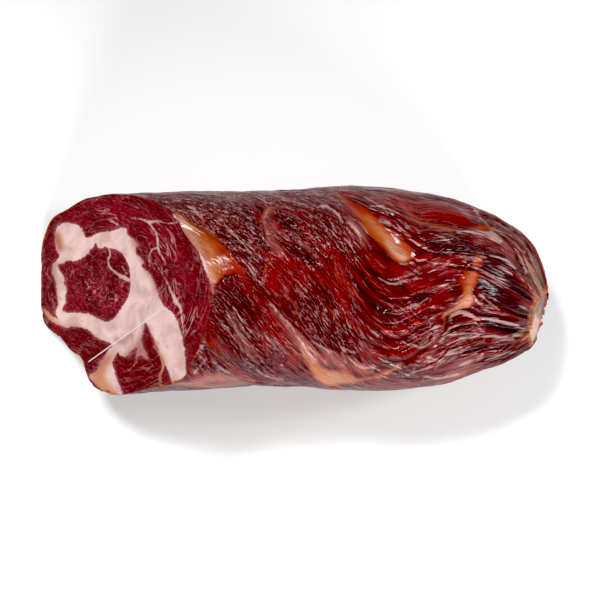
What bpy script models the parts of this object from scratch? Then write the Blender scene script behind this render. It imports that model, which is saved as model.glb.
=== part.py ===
"""Half a dry-cured pork neck sausage, lying on its side.

One solid: a long rounded muscle, sawn off on the slant at the left (-X) end, so that the marbled
cut looks up and left, and gathered in pleats to a small trimmed tip at the right (+X) end. The
diagonal seams between its muscles are grooves in the upper side, and a flat strip underneath is
where it has settled on the board.

Sizes are real sizes in metres. +X runs towards the tip, +Z is up, and the origin is on the board,
under the middle of the whole piece.
"""

import math

import bmesh
import bpy
import numpy as np

MM = 0.001

# The slanted cut: its lowest point, and how far it leans back for each unit of height.
CUT_FOOT_X = -103.4 * MM
CUT_LEAN = 1.0

# The trimmed tip: how far its face turns towards -Y, and how far it leans back at the top.
TIP_TURN = 0.26
TIP_LEAN = 0.14

# Cross-sections from the cut to the tip, in millimetres: where the section's middle lies along X,
# its widest reach to +Y and to -Y, its crown, and the lowest point of its round underside, which
# the board flattens where it would be below zero.
SECTIONS = (
    (-66.8, 38.8, -40.2, 69.6, -2.4),
    (-52.0, 39.8, -39.8, 70.0, -2.6),
    (-37.0, 40.0, -39.2, 70.0, -2.6),
    (-17.0, 40.3, -37.8, 69.4, -2.6),
    (3.0, 41.2, -38.0, 69.0, -2.6),
    (23.0, 42.3, -39.6, 69.4, -2.6),
    (43.0, 40.8, -38.8, 68.4, -2.4),
    (59.0, 38.2, -36.8, 65.4, -1.6),
    (71.0, 33.8, -32.6, 61.0, 0.4),
    (83.0, 28.2, -28.4, 55.0, 4.6),
    (90.6, 22.0, -25.0, 49.0, 9.4),
    (94.0, 14.0, -24.2, 45.0, 13.0),
    (96.4, 5.6, -23.2, 41.6, 15.4),
    (97.8, -0.2, -21.8, 38.6, 17.2),
)
SQUARENESS_AT_CUT = 2.35  # exponent of the superellipse: 2 is an ellipse
SQUARENESS_AT_TIP = 2.0
WIDEST_HEIGHT = 0.46  # share of the section's height at which it is widest

# Shares of the way along the side: where the slant of the cut has gone, where the turn of the tip
# begins, and where the seams begin and reach their full depth.
SLANT_GONE = 0.45
TIP_BEGINS = 0.8
SEAMS_BEGIN = 0.02
SEAMS_FULL = 0.1
SEAMS_FULL_HEIGHT = 0.35  # share of the upper half's height at which a seam has its full depth

# Mesh fineness: steps round the section, along the side, and across each end face.
STEPS_ROUND = 96
STEPS_ALONG = 53
STEPS_ON_CUT = 6
STEPS_ON_TIP = 2

# Hollows and swellings of the skin near the cut: angle round the section and its spread in
# degrees, how far along the side it fades, and its height, negative for a hollow.
CUT_SHAPES = (
    {"angle": 211.0, "spread": 13.0, "fades_in": 36 * MM, "height": -9.5 * MM},
    {"angle": 236.0, "spread": 17.0, "fades_in": 30 * MM, "height": -8.5 * MM},
    {"angle": 180.0, "spread": 6.0, "fades_in": 12 * MM, "height": 1.6 * MM},
    {"angle": 143.0, "spread": 10.0, "fades_in": 16 * MM, "height": 2.6 * MM},
    {"angle": 55.0, "spread": 15.0, "fades_in": 34 * MM, "height": -3.6 * MM},
    {"angle": 312.0, "spread": 9.0, "fades_in": 16 * MM, "height": 1.6 * MM},
)

# Seams between muscles on the upper side: the line that each follows in plan, in millimetres, with
# the depth and half-width of its groove.
SEAMS = {
    "fat_wedge_behind_the_cut": (2.0, 4.0, ((-42, 27), (-36, 20), (-30, 12), (-26, 4))),
    "long_seam": (1.5, 3.0, ((-17, 4), (-8, -7), (1, -19), (8, -31), (14, -36))),
    "edge_of_upper_muscle": (1.2, 3.0, ((-11, 33), (-12, 22), (-11, 12), (-12, 0))),
    "upper_muscle_fold": (1.4, 3.2, ((-6, 20), (10, 12), (22, 2), (30, -6))),
    "tan_fat_seam": (1.3, 3.6, ((14, 40), (26, 33), (36, 22), (46, 13))),
    "first_swirl": (1.6, 3.4, ((20, 20), (30, 9), (38, 3), (48, 4), (56, 11))),
    "second_swirl": (1.6, 3.4, ((20, 4), (30, -4), (40, -6), (52, -2), (60, -1))),
    "third_swirl": (1.4, 3.2, ((20, -10), (31, -19), (42, -21), (54, -13), (62, -8))),
    "low_swirl": (1.4, 3.2, ((12, -20), (25, -28), (40, -31), (54, -25), (66, -20))),
    "back_fold": (1.3, 3.2, ((43, 36), (54, 28), (68, 24), (80, 22), (90, 12))),
}

# Pleats that gather the skin to the tip.
PLEATS = 16
PLEAT_DEPTH = 1.5 * MM
PLEATS_START_X = 55 * MM
PLEATS_FULL_X = 96 * MM
PLEAT_DRIFT = 0.9  # radians by which their spacing wanders round the section
PLEAT_POWER = 0.7  # under 1, the folds between two pleats are narrower than the pleats
PLEAT_LEVEL = 0.6  # share of the pleat that lies below the smooth side

MEAT_COLOUR = (0.16, 0.018, 0.02, 1.0)  # dark cured lean, linear
MEAT_ROUGHNESS = 0.38
SHARP_EDGE = 50  # degrees: only the rims of the cut and of the tip are this sharp
NODE_NAME = "neck_sausage"


def smooth_curve(places, values, at):
    """A curve with continuous slope through (places, values), read at the places in `at`."""
    places = np.asarray(places, float)
    values = np.asarray(values, float)
    slopes = np.gradient(values, places)
    i = np.clip(np.searchsorted(places, at) - 1, 0, len(places) - 2)
    width = places[i + 1] - places[i]
    u = np.clip((at - places[i]) / width, 0, 1)
    return (
        values[i] * (1 + 2 * u) * (1 - u) ** 2
        + slopes[i] * width * u * (1 - u) ** 2
        + values[i + 1] * u**2 * (3 - 2 * u)
        + slopes[i + 1] * width * u**2 * (u - 1)
    )


def ramp(value, start, end):
    """0 before start, 1 after end, with a smooth rise between them."""
    u = np.clip((value - start) / (end - start), 0, 1)
    return u * u * (3 - 2 * u)


def section_at(share):
    """The section's five sizes in metres, and its squareness, at a share of the way along the side."""
    table = np.array(SECTIONS) * MM
    steps = np.hypot(np.diff(table[:, 0]), np.diff(table[:, 1]))
    travelled = np.concatenate([[0], np.cumsum(steps)]) / steps.sum()
    sizes = [smooth_curve(travelled, column, share) for column in table.T]
    squareness = SQUARENESS_AT_CUT + (SQUARENESS_AT_TIP - SQUARENESS_AT_CUT) * share**2
    return (*sizes, squareness)


def superellipse(angle, squareness):
    """Unit superellipse: (across, up) at an angle measured from +Y towards +Z."""
    power = 2 / squareness
    across = np.sign(np.cos(angle)) * np.abs(np.cos(angle)) ** power
    up = np.sign(np.sin(angle)) * np.abs(np.sin(angle)) ** power
    return across, up


def distance_to_line(x, y, line):
    """Plan distance from each (x, y) to an open line of points."""
    nearest = np.full(x.shape, np.inf)
    for (ax, ay), (bx, by) in zip(line[:-1], line[1:]):
        length2 = (bx - ax) ** 2 + (by - ay) ** 2
        u = np.clip(((x - ax) * (bx - ax) + (y - ay) * (by - ay)) / length2, 0, 1)
        nearest = np.minimum(nearest, np.hypot(x - ax - u * (bx - ax), y - ay - u * (by - ay)))
    return nearest


def seam_relief(x, y):
    """Height of the muscle seams over the smooth upper side, in metres."""
    height = np.zeros(x.shape)
    for depth, half_width, line in SEAMS.values():
        off = distance_to_line(x, y, [(px * MM, py * MM) for px, py in line]) / (half_width * MM)
        height -= depth * MM * np.exp(-(off**2))
    return height


def cut_relief(angle, run):
    """Height of the hollows and swellings near the cut. `run` is the distance along the side."""
    height = np.zeros(angle.shape)
    for shape in CUT_SHAPES:
        round_it = (np.degrees(angle) % 360 - shape["angle"]) / shape["spread"]
        height += shape["height"] * np.exp(-(round_it**2) - (run / shape["fades_in"]) ** 2)
    return height


def pleat_relief(angle, x):
    """Height of the pleats, which sharpen and deepen towards the tip."""
    phase = PLEATS * angle / 2 + PLEAT_DRIFT * np.sin(2 * angle) + PLEAT_DRIFT * np.sin(3 * angle + 1)
    pleat = np.abs(np.cos(phase)) ** PLEAT_POWER
    return PLEAT_DEPTH * (pleat - PLEAT_LEVEL) * ramp(x, PLEATS_START_X, PLEATS_FULL_X)


def side_surface(share, angle):
    """Points on the long side. share runs from 0 at the cut to 1 at the tip."""
    x_mid, y_plus, y_minus, crown, foot, squareness = section_at(share)
    across, up = superellipse(angle, squareness)
    widest = foot + WIDEST_HEIGHT * (crown - foot)
    y_mid = (y_plus + y_minus) / 2
    reach_y = np.where(across > 0, y_plus - y_mid, y_mid - y_minus)
    reach_z = np.where(up > 0, crown - widest, widest - foot)
    y = y_mid + reach_y * across
    z = widest + reach_z * up

    run = x_mid - x_mid.min()
    slant = 1 - ramp(share, 0.0, SLANT_GONE)
    height = cut_relief(angle, run) + pleat_relief(angle, x_mid)
    seam_share = ramp(up, 0.0, SEAMS_FULL_HEIGHT) * ramp(share, SEAMS_BEGIN, SEAMS_FULL)
    height += seam_share * seam_relief(x_mid + slant * CUT_LEAN * (z - widest), y)
    y += height * np.cos(angle)
    z = np.maximum(z + height * np.sin(angle), 0)

    leaning = CUT_FOOT_X + CUT_LEAN * z + run
    turn = TIP_TURN * (y - y_mid) - TIP_LEAN * (z - widest)
    x = leaning * slant + x_mid * (1 - slant) + turn * ramp(share, TIP_BEGINS, 1.0)
    return np.stack([x, y, z], axis=-1)


def end_face(rim, share):
    """Points on a flat end face: share 0 is the middle of the rim and 1 is the rim itself."""
    middle = rim.mean(axis=0)
    return middle + (rim - middle) * share


def body_mesh():
    """A sphere's rows, laid over the cut face, along the side, and over the tip face."""
    rows = STEPS_ON_CUT + STEPS_ALONG + STEPS_ON_TIP
    bm = bmesh.new()
    bmesh.ops.create_uvsphere(bm, u_segments=STEPS_ROUND, v_segments=rows, radius=1)
    angles = np.arange(STEPS_ROUND) * 2 * math.pi / STEPS_ROUND
    for vert in bm.verts:
        row = round(math.acos(max(-1, min(1, vert.co.z))) / math.pi * rows)
        step = round(math.atan2(vert.co.y, vert.co.x) / (2 * math.pi) * STEPS_ROUND) % STEPS_ROUND
        vert.co = (row, step, 0)

    shares = np.clip((np.arange(rows + 1) - STEPS_ON_CUT) / STEPS_ALONG, 0, 1)
    grid_share, grid_angle = np.meshgrid(shares, angles, indexing="ij")
    points = side_surface(grid_share, grid_angle)
    for row in range(STEPS_ON_CUT):
        points[row] = end_face(points[STEPS_ON_CUT], row / STEPS_ON_CUT)
    for row in range(STEPS_ON_TIP):
        points[rows - row] = end_face(points[rows - STEPS_ON_TIP], row / STEPS_ON_TIP)

    for vert in bm.verts:
        vert.co = points[int(vert.co.x), int(vert.co.y)]
    bmesh.ops.recalc_face_normals(bm, faces=bm.faces)
    bmesh.ops.triangulate(bm, faces=bm.faces)
    mesh = bpy.data.meshes.new(NODE_NAME)
    bm.to_mesh(mesh)
    bm.free()
    return mesh


def stand_at_origin(mesh):
    """Moves the mesh so that the origin is on the board, under the middle of its box."""
    points = np.empty(len(mesh.vertices) * 3)
    mesh.vertices.foreach_get("co", points)
    points = points.reshape(-1, 3)
    low, high = points.min(axis=0), points.max(axis=0)
    middle = (low + high) / 2
    points -= (middle[0], middle[1], low[2])
    mesh.vertices.foreach_set("co", points.ravel())
    mesh.update()


def cured_meat_material():
    """Dark lean under a thin, dried, slightly shiny skin."""
    material = bpy.data.materials.new("cured_meat")
    material.use_nodes = True
    surface = material.node_tree.nodes["Principled BSDF"]
    surface.inputs["Base Color"].default_value = MEAT_COLOUR
    surface.inputs["Roughness"].default_value = MEAT_ROUGHNESS
    surface.inputs["Metallic"].default_value = 0.0
    return material


def main():
    for old in list(bpy.data.objects):
        bpy.data.objects.remove(old)
    collection = bpy.data.collections.new("cured_pork_neck")
    bpy.context.scene.collection.children.link(collection)

    mesh = body_mesh()
    stand_at_origin(mesh)
    mesh.materials.append(cured_meat_material())
    mesh.shade_smooth()
    mesh.set_sharp_from_angle(angle=math.radians(SHARP_EDGE))
    collection.objects.link(bpy.data.objects.new(NODE_NAME, mesh))


main()
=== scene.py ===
"""Looks of a half dry-cured pork neck sausage, seen from straight above on white.

One closed mesh replaces the solid: a sphere's rows laid over the marbled cut, along the wrinkled
skin and over the trimmed tip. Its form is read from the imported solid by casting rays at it. The
folds, the fat and the lean that show are drawn on it as named lines, in pixels of the photo, and
finer wrinkles follow the way the muscle fibres run round the piece.
"""

import itertools
import math

import bmesh
import bpy
import numpy as np
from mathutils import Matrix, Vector
from mathutils.bvhtree import BVHTree


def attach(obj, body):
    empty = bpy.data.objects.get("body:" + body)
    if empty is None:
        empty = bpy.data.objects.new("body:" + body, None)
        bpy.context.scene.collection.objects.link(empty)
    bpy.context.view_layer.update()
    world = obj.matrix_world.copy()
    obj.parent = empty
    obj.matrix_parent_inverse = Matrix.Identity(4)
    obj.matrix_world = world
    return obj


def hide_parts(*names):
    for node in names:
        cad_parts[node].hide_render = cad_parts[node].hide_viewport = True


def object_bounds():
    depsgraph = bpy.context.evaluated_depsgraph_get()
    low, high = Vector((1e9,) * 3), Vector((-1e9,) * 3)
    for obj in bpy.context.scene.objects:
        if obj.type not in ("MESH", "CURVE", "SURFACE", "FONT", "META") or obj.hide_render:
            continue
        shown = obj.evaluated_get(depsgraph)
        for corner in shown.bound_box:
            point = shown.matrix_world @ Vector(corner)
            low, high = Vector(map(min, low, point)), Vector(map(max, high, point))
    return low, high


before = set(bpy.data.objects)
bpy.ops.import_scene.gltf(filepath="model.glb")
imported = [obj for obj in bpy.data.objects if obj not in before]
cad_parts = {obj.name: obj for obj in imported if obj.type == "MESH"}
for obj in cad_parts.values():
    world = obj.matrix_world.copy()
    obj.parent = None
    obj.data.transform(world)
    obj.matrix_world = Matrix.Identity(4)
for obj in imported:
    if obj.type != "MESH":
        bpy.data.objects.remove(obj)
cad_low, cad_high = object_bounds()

MM = 0.001
NODE = "neck_sausage"

# The photo: 600 pixels across, 0.4 mm to a pixel at half the piece's height.
PHOTO_MIDDLE = 300.0
PIXEL = 0.4 * MM
MID_HEIGHT = 33 * MM
CAMERA_X = 2.8 * MM
CAMERA_Y = -3.6 * MM
CAMERA_HEIGHT = 2400 * MM
SENSOR = 36.0

# Mesh fineness: steps round the section, rows over the cut, along the side, and over the tip.
STEPS_ROUND = 330
ROWS_ON_CUT = 74
ROWS_ON_SIDE = 150
ROWS_ON_TIP = 78
TOP_DENSITY = 0.4  # how much closer the steps lie on the upper side than on average

# The axis that the rays start from: its height at the cut, and where the tip's fan of rays starts.
AXIS_HEIGHT = 32 * MM
FAN_START = Vector((62 * MM, -3 * MM, 31 * MM))
TIP_MIDDLE = Vector((98 * MM, -10.6 * MM, 28 * MM))
TRIM_MIDDLE = Vector((98.5 * MM, -10.6 * MM, 31 * MM))
TRIM_RADIUS = 10.5 * MM
SLANT_GONE = 0.5  # share of the side at which the slant of the cut has gone
PAST_CUT = 0.4 * MM  # how far behind the cut the first row of the side lies
BLUR_ROUND = 2.5  # steps over which the solid's facets are smoothed away
BLUR_ALONG = 2.0  # rows over which they are

# How far the muscle fibres have wound round the piece, in radians, by each place along it.
FIBRE_TURN = (
    (-105, -1.1),
    (-45, 0.0),
    (0, 0.95),
    (30, 1.55),
    (50, 1.72),
    (60, 1.66),
    (75, 1.58),
    (100, 1.55),
)
FIBRE_LEAN = 0.35  # how much more they slant on the near side than on the far side
ROUND_RADIUS = 36.0  # millimetres that stand for one radian of winding
PATTERN_STRETCH = ((-110, 25, 110), (-110, 25, 55))  # the patterns are drawn out towards the tip


def unit_step(value, start, end):
    """0 before start, 1 after end, with a smooth rise between them."""
    u = np.clip((value - start) / (end - start), 0, 1)
    return u * u * (3 - 2 * u)


def lattice_noise(places, seed):
    """Smooth noise from -1 to 1, with one bump to each unit of the (..., 3) places."""
    cell = np.floor(places).astype(np.int64)
    part = places - cell
    part = part * part * (3 - 2 * part)
    total = np.zeros(places.shape[:-1])
    for corner in itertools.product((0, 1), repeat=3):
        key = (cell + corner) * np.array((73856093, 19349663, 83492791))
        mixed = key[..., 0] ^ key[..., 1] ^ key[..., 2] ^ (seed * 2654435761)
        mixed = ((mixed ^ (mixed >> 13)) * 1274126177) & 0x7FFFFFFF
        value = ((mixed >> 8) & 0xFFFF) / 32767.5 - 1
        total += value * np.prod(np.where(corner, part, 1 - part), axis=-1)
    return total


# Drawn lines in pixels of the photo. A fold is a groove: its depth, its half-width and the step up
# to the right-hand side of its line, all in millimetres, and the line itself.
FOLDS = {
    "edge_of_first_muscle": (0.35, 1.0, -0.9, (
        (172, 207), (180, 214), (194, 226), (210, 236), (226, 248), (240, 263), (247, 276), (257, 289),
        (264, 298))),
    "under_fat_wedge": (0.5, 1.0, 0.5, ((214, 286), (222, 278), (233, 274), (243, 277))),
    "long_seam_ridge": (-1.3, 1.7, 0, (
        (268, 302), (278, 317), (287, 328), (296, 337), (304, 348), (310, 358), (317, 368))),
    "long_seam_valley": (0.8, 0.9, 0, (
        (262, 297), (275, 309), (287, 320), (298, 330), (309, 341), (318, 351), (328, 359))),
    "third_muscle_foot": (0.5, 0.9, -0.4, (
        (207, 318), (205, 336), (211, 348), (222, 358), (236, 368), (250, 376), (268, 383))),
    "second_muscle_edge": (0.3, 0.9, 0.6, (
        (266, 204), (263, 217), (265, 231), (267, 242), (263, 256), (267, 268), (264, 278), (263, 293))),
    "second_muscle_valley": (0.4, 1.1, 0, (
        (275, 236), (296, 253), (318, 262), (333, 274), (348, 286), (364, 299))),
    "second_muscle_hollow": (0.35, 1.1, 0, (
        (300, 235), (318, 244), (335, 256), (350, 265), (367, 277), (380, 286))),
    "bright_fold": (0.4, 0.9, 0.3, (
        (287, 294), (296, 308), (303, 320), (313, 331), (327, 343), (342, 348), (356, 354), (371, 364))),
    "thin_fold": (0.25, 0.8, 0.2, ((311, 288), (324, 303), (331, 312), (336, 323), (342, 335), (348, 348))),
    "far_fold": (0.3, 1.0, 0.2, ((300, 205), (318, 216), (332, 232), (350, 248), (362, 258))),
    "farther_fold": (0.3, 1.0, 0.2, ((318, 198), (334, 210), (348, 226), (362, 242), (374, 256))),
    "swirl_1": (0.9, 1.1, -0.2, (
        (352, 245), (364, 258), (373, 271), (382, 280), (398, 282), (410, 279), (423, 270), (431, 264))),
    "swirl_2": (1.0, 1.1, -0.2, (
        (348, 262), (360, 273), (369, 286), (379, 296), (394, 302), (408, 301), (423, 295), (437, 292))),
    "swirl_ridge": (-1.2, 0.9, 0, ((385, 313), (404, 310), (419, 304), (429, 299))),
    "swirl_3": (0.9, 1.0, -0.2, (
        (348, 290), (360, 302), (369, 314), (379, 323), (397, 326), (414, 318), (429, 311), (442, 308))),
    "swirl_4": (1.0, 1.0, -0.2, (
        (350, 305), (360, 317), (375, 329), (386, 339), (404, 339), (422, 329), (436, 320))),
    "swirl_5": (0.9, 1.0, -0.2, (
        (338, 316), (350, 330), (366, 342), (382, 350), (400, 352), (418, 344), (432, 336))),
    "swirl_6": (1.0, 1.0, -0.2, ((372, 355), (388, 362), (404, 362), (420, 354), (434, 345))),
    "streak_fold_far": (0.6, 1.0, 0, (
        (372, 203), (390, 214), (404, 226), (420, 238), (436, 244), (452, 240))),
    "streak_fold_near": (0.8, 1.0, 0.4, ((400, 236), (415, 246), (432, 252), (450, 250))),
    "white_ridge": (-0.9, 1.3, 0, ((454, 231), (468, 232), (484, 236), (500, 241))),
    "under_white_ridge": (0.7, 1.0, 0, ((452, 237), (470, 243), (486, 250), (500, 254))),
    "pleat_1": (0.8, 0.9, 0.2, (
        (430, 257), (442, 254), (456, 252), (469, 252), (486, 255), (501, 261), (514, 270), (524, 285))),
    "pleat_2": (0.9, 0.9, 0.2, (
        (436, 267), (463, 267), (478, 270), (492, 277), (507, 285), (519, 291), (529, 298), (537, 304))),
    "pleat_3": (0.9, 0.9, 0.2, ((472, 289), (478, 295), (492, 302), (507, 310), (522, 316), (534, 321))),
    "pleat_4": (0.9, 0.8, 0, ((448, 316), (465, 311), (481, 314), (495, 316), (510, 318), (532, 324))),
    "pleat_5": (0.8, 0.8, 0, ((481, 326), (500, 329), (522, 332), (534, 331))),
    "pleat_6": (0.9, 0.9, 0.1, ((438, 342), (451, 333), (463, 327), (478, 325))),
    "pleat_7": (1.0, 0.9, 0.2, ((425, 355), (442, 351), (463, 345), (485, 338), (507, 338), (532, 337))),
    "pleat_8": (0.9, 0.9, 0.2, (
        (438, 366), (456, 357), (469, 351), (492, 348), (507, 346), (525, 342), (534, 340))),
    "pleat_9": (0.7, 0.9, 0.2, ((418, 378), (442, 373), (463, 368), (480, 362), (500, 355), (520, 350))),
    "pleat_10": (0.7, 0.9, 0, ((462, 374), (478, 368), (494, 361), (514, 355))),
    "far_pleat_1": (0.9, 0.9, 0.2, (
        (475, 207), (485, 217), (492, 226), (507, 235), (516, 245), (523, 257), (529, 270), (535, 285),
        (539, 297))),
    "far_pleat_2": (0.8, 0.9, 0.2, (
        (491, 229), (501, 236), (513, 249), (519, 264), (528, 279), (537, 296))),
    "far_pleat_3": (0.8, 0.9, 0.2, (
        (488, 216), (507, 223), (519, 232), (529, 246), (537, 261), (544, 279))),
    "far_pleat_4": (0.7, 0.9, 0, ((505, 250), (514, 262), (522, 276), (532, 292))),
}

# Painted areas, in pixels of the photo: outlines are closed lines, and chains are lines of discs,
# each disc its place across and down and its radius. On the skin, fat shows through orange.
FAT_OUTLINES = {
    "wedge": (
        (174, 209), (183, 214), (191, 221), (201, 227), (210, 232), (218, 238), (226, 247), (233, 254),
        (240, 263), (245, 272), (248, 280), (240, 275), (233, 273), (226, 275), (220, 280), (215, 285),
        (208, 284), (201, 271), (196, 258), (191, 246), (186, 236), (180, 225)),
    "far_patch": (
        (331, 190), (342, 196), (352, 203), (362, 206), (369, 210), (379, 219), (388, 227), (396, 235),
        (407, 242), (414, 250), (412, 259), (402, 263), (394, 260), (387, 252), (380, 245), (372, 239),
        (365, 230), (359, 219), (352, 210), (342, 202)),
    "near_patch": (
        (302, 346), (306, 352), (315, 358), (322, 365), (329, 369), (337, 369), (346, 372), (353, 376),
        (361, 378), (371, 377), (382, 372), (382, 377), (371, 379), (362, 381), (348, 384), (334, 386),
        (326, 386), (319, 382), (312, 374), (307, 364), (302, 354)),
    "tip_patch_1": ((476, 252), (486, 255), (483, 263), (477, 268), (470, 265), (474, 258)),
    "tip_patch_2": (
        (465, 271), (477, 269), (478, 278), (474, 291), (473, 299), (471, 306), (464, 309), (453, 310),
        (460, 300), (462, 291), (459, 281)),
}
FAT_CHAINS = {
    "under_wedge": (
        (212, 282, 2.5), (213, 292, 0.8), (212, 301, 0.2), (209, 312, 0.2), (207, 325, 0.4), (205, 338, 1)),
    "third_muscle_line": (
        (205, 338, 1.2), (208, 344, 1.6), (213, 350, 1.2), (221, 358, 1), (229, 365, 0.8), (239, 372, 0.6),
        (254, 381, 0.6)),
    "long_seam": ((290, 330, 0), (297, 338, 1), (303, 348, 3), (308, 359, 5)),
    "near_line": (
        (376, 377, 2.2), (388, 372, 2.4), (397, 367, 2.2), (408, 361, 1.6), (419, 354, 1.2), (428, 348, 1),
        (436, 340, 0.8), (446, 322, 0.8)),
    "far_streak": (
        (390, 191, 0), (396, 198, 0.6), (402, 205, 1), (408, 212, 1.4), (416, 219, 1.8), (427, 223, 2),
        (438, 226, 2.8), (449, 229, 2.6), (459, 231, 1)),
    "far_streak_end": ((470, 229, 1), (480, 228, 3), (488, 228, 3.5), (496, 232, 1.5)),
    "tip_lines": ((458, 309, 1.5), (450, 312, 2), (444, 316, 2), (446, 322, 1)),
    "second_muscle_rim": (
        (278, 208, 0.8), (269, 209, 2), (264, 217, 1.8), (265, 229, 0.8), (268, 240, 0.8), (272, 250, 0.8),
        (270, 261, 1), (266, 268, 1.8), (265, 278, 1.6)),
    "orange_speck": ((256, 295, 1.5), (258, 298, 1)),
    "bright_fold_line": ((287, 295, 0.4), (294, 305, 0.8), (299, 315, 0.7), (305, 322, 0.4)),
    "thin_fold_line": ((328, 308, 0.4), (333, 314, 0.7), (337, 325, 0.7), (341, 334, 0.4)),
    "middle_line": ((334, 272, 0), (344, 282, 0.5), (354, 292, 0.7), (364, 303, 0.4)),
    "hem_of_cut": ((176, 383, 1.5), (190, 384, 2), (208, 386, 1.5), (236, 385, 1.2), (248, 382, 0.8)),
    "far_fold_1": (
        (479, 211, 0.3), (486, 219, 0.6), (494, 227, 0.6), (507, 237, 0.6), (517, 246, 0.6),
        (525, 258, 0.6), (531, 272, 0.6), (538, 288, 1)),
    "far_fold_2": ((515, 262, 0.3), (522, 274, 0.8), (529, 287, 1), (536, 299, 2)),
    "tip_hem": (
        (541, 288, 2), (536, 299, 1.5), (531, 310, 1), (529, 322, 1.5), (529, 332, 2), (522, 342, 1.5)),
    "near_hem": ((440, 383, 1), (455, 380, 1.5), (470, 374, 1.5), (482, 368, 1)),
}
# Fat that has dried paler and yellower, and pink: partly pink fat and lean, partly painted sheen on ridges
# and lobes that catch the light.
TAN_CHAINS = {
    "wedge_edge": (
        (184, 220, 1.5), (193, 230, 3), (203, 241, 4), (210, 252, 4), (213, 264, 4), (214, 277, 4)),
    "far_patch": ((368, 217, 2), (378, 228, 3), (388, 240, 4), (396, 250, 5), (404, 257, 4)),
    "near_patch": (
        (312, 366, 5), (322, 376, 7), (340, 378, 7), (362, 380, 4), (382, 375, 3), (396, 368, 3)),
    "tip_patch": (
        (480, 258, 1.5), (472, 276, 2), (468, 292, 3), (468, 304, 4), (460, 307, 4), (446, 314, 5)),
    "tip_hem": ((540, 290, 4), (531, 310, 4), (529, 332, 5), (520, 343, 4)),
    "far_tip": ((486, 213, 3), (510, 230, 4), (530, 255, 5), (541, 285, 6)),
    "hem_of_cut": ((180, 383, 4), (225, 388, 4)),
}
PINK_AND_SHEEN_CHAINS = {
    "long_seam": (
        (268, 304, 2), (279, 316, 3), (289, 327, 4.5), (298, 337, 6), (306, 346, 7), (316, 355, 5),
        (326, 361, 3)),
    "wedge_edge": ((214, 282, 2), (213, 294, 1.5)),
    "near_smooth": ((196, 380, 3), (206, 378, 4), (222, 378, 5), (238, 380, 3)),
    "far_patch_foot": ((388, 242, 1.5), (395, 250, 3), (403, 257, 3.5)),
    "third_muscle": ((230, 314, 3), (238, 328, 4.5), (247, 345, 4), (256, 361, 3)),
    "near_lobe": ((325, 352, 4), (340, 360, 7), (352, 366, 7), (366, 370, 5)),
    "second_muscle_lobe": ((268, 214, 4), (270, 226, 5), (272, 240, 5), (280, 252, 5)),
    "far_middle": ((350, 222, 4), (357, 229, 5), (364, 240, 4)),
    "far_tip": ((503, 244, 3), (508, 252, 5), (512, 262, 4)),
    "near_tip": ((450, 376, 4), (464, 368, 6), (480, 360, 5)),
    "white_ridge": ((466, 232, 1.5), (478, 235, 2.5), (492, 239, 4)),
    "tip_patch_foot": ((471, 300, 3), (462, 306, 4), (452, 311, 3)),
    "near_patch_top": ((300, 344, 3), (306, 352, 3), (313, 360, 2)),
    "wedge_rim": (
        (176, 215, 2), (181, 221, 3), (189, 231, 3), (196, 242, 3), (202, 254, 3), (208, 268, 2.5),
        (213, 284, 2)),
}
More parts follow.
